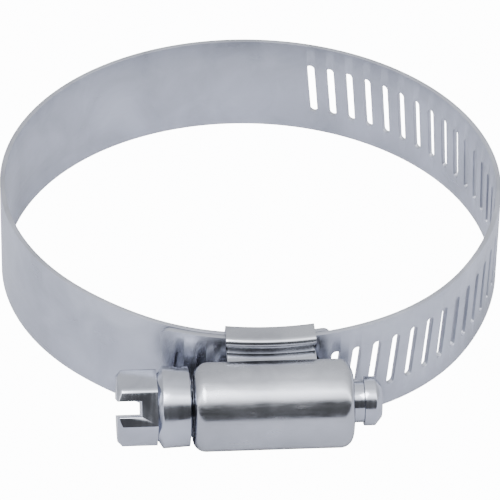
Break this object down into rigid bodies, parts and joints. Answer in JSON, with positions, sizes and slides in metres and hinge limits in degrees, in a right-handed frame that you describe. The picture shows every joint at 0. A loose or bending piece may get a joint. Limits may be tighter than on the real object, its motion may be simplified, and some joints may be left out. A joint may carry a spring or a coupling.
{
  "type": "worm-drive hose clamp",
  "caption": "Worm-drive hose clamp: a slotted steel band loop, a saddle strap, a drawn housing and a slotted hex-head worm screw.",
  "frame": {"origin": "centre of the band's loop, halfway across the band's width", "axes": "+Z along the loop's axis, -Y towards the screw housing, -X towards the screw's hex head; the screw lies along X"},
  "size_m": [0.0608, 0.0713, 0.0142],
  "materials": {
    "band_steel": "rolled satin stainless, fine grain along the strip",
    "housing_steel": "bright drawn stainless",
    "screw_steel": "bright plated, cold formed"
  },
  "bodies": {
    "frame": {"band_plain_section": "band_steel", "saddle": "housing_steel", "housing": "housing_steel"},
    "screw": {"screw": "screw_steel"},
    "band_back": {"band_back_section": "band_steel"},
    "band_slotted": {"band_slotted_section": "band_steel"}
  },
  "joints": [
    {"name": "screw_spin", "type": "hinge", "parent": "frame", "child": "screw", "pos_m": [0, -0.03561, 0], "axis": [1, 0, 0], "range_deg": [-360, 720]},
    {"name": "band_flex_left", "type": "hinge", "parent": "frame", "child": "band_back", "pos_m": [-0.0301, 0, 0], "axis": [0, 0, 1], "range_deg": [-5, 2.5]},
    {"name": "band_flex_right", "type": "hinge", "parent": "band_back", "child": "band_slotted", "pos_m": [0.03009, -0.00075, 0], "axis": [0, 0, 1], "range_deg": [-5, 2.5]}
  ],
  "couplings": [
    {"joint": "band_flex_left", "follows": "screw_spin", "ratio": -0.0068},
    {"joint": "band_flex_right", "follows": "screw_spin", "ratio": -0.00682}
  ]
}
